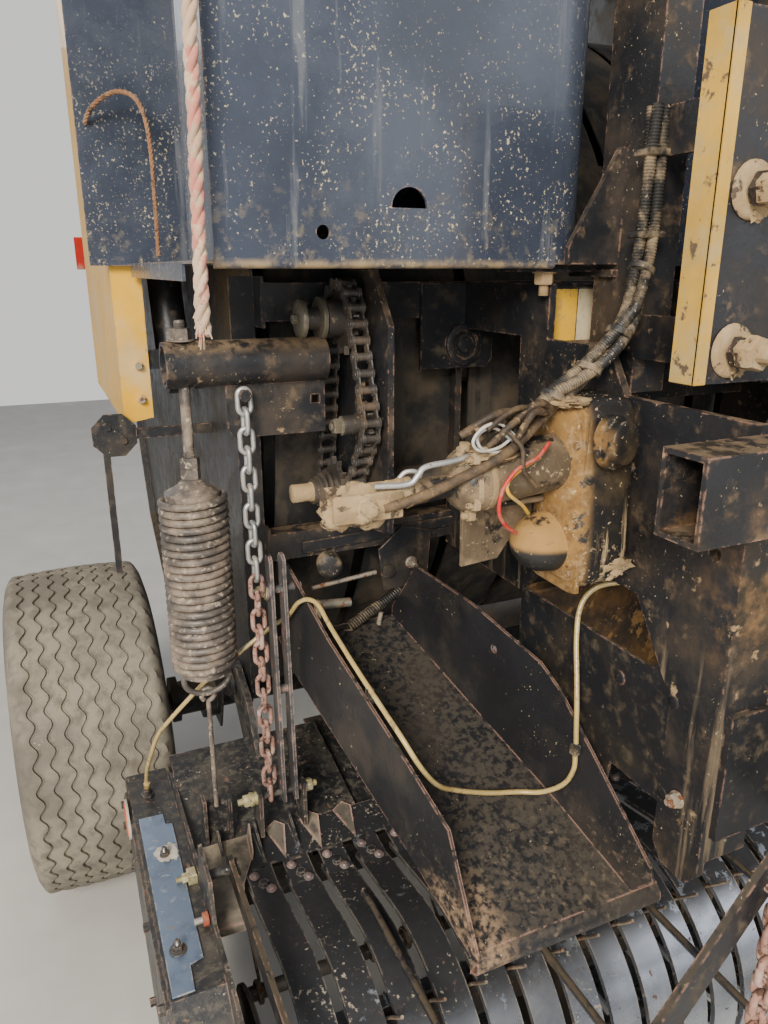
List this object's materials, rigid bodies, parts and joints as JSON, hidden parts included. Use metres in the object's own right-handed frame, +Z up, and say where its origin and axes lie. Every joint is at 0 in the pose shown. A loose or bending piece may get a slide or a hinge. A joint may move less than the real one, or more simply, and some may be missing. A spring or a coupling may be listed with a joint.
{
  "type": "round baler",
  "caption": "Drawn round baler: tined pickup with curved stripper bands and windrow trough, belt chamber, lifting rear gate, twine boxes, drawbar and jack.",
  "frame": {"origin": "centre of the bounding box on the ground plane", "axes": "+Y rearward along the machine, from the hitch to the gate; +X to the machine's left-hand side as the picture's right; +Z up"},
  "size_m": [2.17, 4.2799, 2.3379],
  "materials": {
    "frame_black": "semi-gloss, dusty and worn",
    "box_blue_black": "semi-gloss, specked with dry dust",
    "shield_yellow": "gloss, faded",
    "worn_steel": "polished by crop, dusty at the edges",
    "dark_steel": "oily, brown dust",
    "zinc_chain": "galvanised above, rusty below",
    "mud_housing": "black under dry tan mud",
    "belt_rubber": "matt",
    "tyre_rubber": "dusty",
    "rim_yellow": "gloss, dusty",
    "rod_chrome": "bright",
    "guard_yellow": "faded",
    "line_clear": "clear yellowish hose",
    "loom_black": "matt",
    "rope_pink": "frayed",
    "rope_rust": "rust-stained",
    "lamp_red": "gloss",
    "rust_chain": "rusty, whitish"
  },
  "bodies": {
    "chassis": {"main_frame": "frame_black", "body_walls": "frame_black", "axle": "frame_black", "tongue": "frame_black", "front_rollers": "dark_steel", "front_belts": "belt_rubber", "gearbox": "dark_steel", "drive_sprockets": "dark_steel", "drive_chain": "dark_steel", "pto_shaft": "guard_yellow", "twine_box_right": "box_blue_black", "twine_box_left": "box_blue_black", "float_spring_right": "dark_steel", "float_spring_left": "dark_steel", "lift_chain_right": "zinc_chain", "lift_chain_left": "zinc_chain", "wrap_actuator": "mud_housing", "wire_loom": "loom_black", "oil_feed": "line_clear", "lamp_bracket": "frame_black", "hanging_rope": "rope_pink", "tie_rope": "rope_rust", "jack_outer": "frame_black", "safety_chain": "rust_chain"},
    "pickup": {"pickup_frame": "frame_black", "stripper_bands": "worn_steel", "drive_box": "frame_black", "lift_links": "frame_black", "chute": "frame_black", "oil_line": "line_clear"},
    "reel": {"pickup_reel": "dark_steel"},
    "guard": {"wind_guard": "frame_black"},
    "wheel_right": {"tyre_right": "tyre_rubber", "rim_right": "rim_yellow"},
    "wheel_left": {"tyre_left": "tyre_rubber", "rim_left": "rim_yellow"},
    "tailgate": {"gate_frame": "frame_black", "gate_rollers": "dark_steel", "gate_belts": "belt_rubber", "tail_lamps": "lamp_red"},
    "cylinder_right": {"barrel_right": "frame_black"},
    "cylinder_left": {"barrel_left": "frame_black"},
    "ram_right": {"rod_right": "rod_chrome"},
    "ram_left": {"rod_left": "rod_chrome"},
    "shield_r": {"shield_right": "shield_yellow"},
    "shield_l": {"shield_left": "shield_yellow"},
    "jack_leg": {"jack_inner": "worn_steel"}
  },
  "joints": [
    {"name": "wheel_right_spin", "type": "hinge", "parent": "chassis", "child": "wheel_right", "pos_m": [-0.92, 1.04, 0.394], "axis": [1, 0, 0], "continuous": true},
    {"name": "wheel_left_spin", "type": "hinge", "parent": "chassis", "child": "wheel_left", "pos_m": [0.92, 1.04, 0.394], "axis": [1, 0, 0], "continuous": true},
    {"name": "tailgate_lift", "type": "hinge", "parent": "chassis", "child": "tailgate", "pos_m": [0, 0.97, 2.3], "axis": [1, 0, 0], "range_deg": [0, 55]},
    {"name": "cylinder_right_swing", "type": "hinge", "parent": "chassis", "child": "cylinder_right", "pos_m": [-0.66, 0.89, 1.28], "axis": [1, 0, 0], "range_deg": [-1.95, 0.2]},
    {"name": "cylinder_left_swing", "type": "hinge", "parent": "chassis", "child": "cylinder_left", "pos_m": [0.66, 0.89, 1.28], "axis": [1, 0, 0], "range_deg": [-1.95, 0.2]},
    {"name": "ram_right_slide", "type": "slide", "parent": "cylinder_right", "child": "ram_right", "axis": [0, 0.3022, 0.9532], "range_m": [0, 0.25]},
    {"name": "ram_left_slide", "type": "slide", "parent": "cylinder_left", "child": "ram_left", "axis": [0, 0.3022, 0.9532], "range_m": [0, 0.25]},
    {"name": "pickup_lift", "type": "hinge", "parent": "chassis", "child": "pickup", "pos_m": [0, 0.64, 0.64], "axis": [-1, 0, 0], "range_deg": [0, 8], "deforming": ["float_spring_right", "float_spring_left", "lift_chain_right", "lift_chain_left", "oil_feed"]},
    {"name": "reel_spin", "type": "hinge", "parent": "pickup", "child": "reel", "pos_m": [0, 0, 0.315], "axis": [-1, 0, 0], "continuous": true},
    {"name": "wind_guard_lift", "type": "hinge", "parent": "pickup", "child": "guard", "pos_m": [0, 0.15, 0.59], "axis": [-1, 0, 0], "range_deg": [0, 7]},
    {"name": "shield_right_open", "type": "hinge", "parent": "chassis", "child": "shield_r", "pos_m": [-0.708, 0.878, 2.276], "axis": [0, 1, 0], "range_deg": [0, 75]},
    {"name": "shield_left_open", "type": "hinge", "parent": "chassis", "child": "shield_l", "pos_m": [0.708, 0.878, 2.276], "axis": [0, -1, 0], "range_deg": [0, 75]},
    {"name": "jack_slide", "type": "slide", "parent": "chassis", "child": "jack_leg", "axis": [0, 0, 1], "range_m": [0, 0.28]}
  ],
  "couplings": [
    {"joint": "cylinder_right_swing", "follows": "tailgate_lift", "ratio": -0.0319},
    {"joint": "cylinder_left_swing", "follows": "tailgate_lift", "ratio": -0.0319},
    {"joint": "ram_right_slide", "follows": "tailgate_lift", "m_per_rad": 0.2586},
    {"joint": "ram_left_slide", "follows": "tailgate_lift", "m_per_rad": 0.2586}
  ]
}
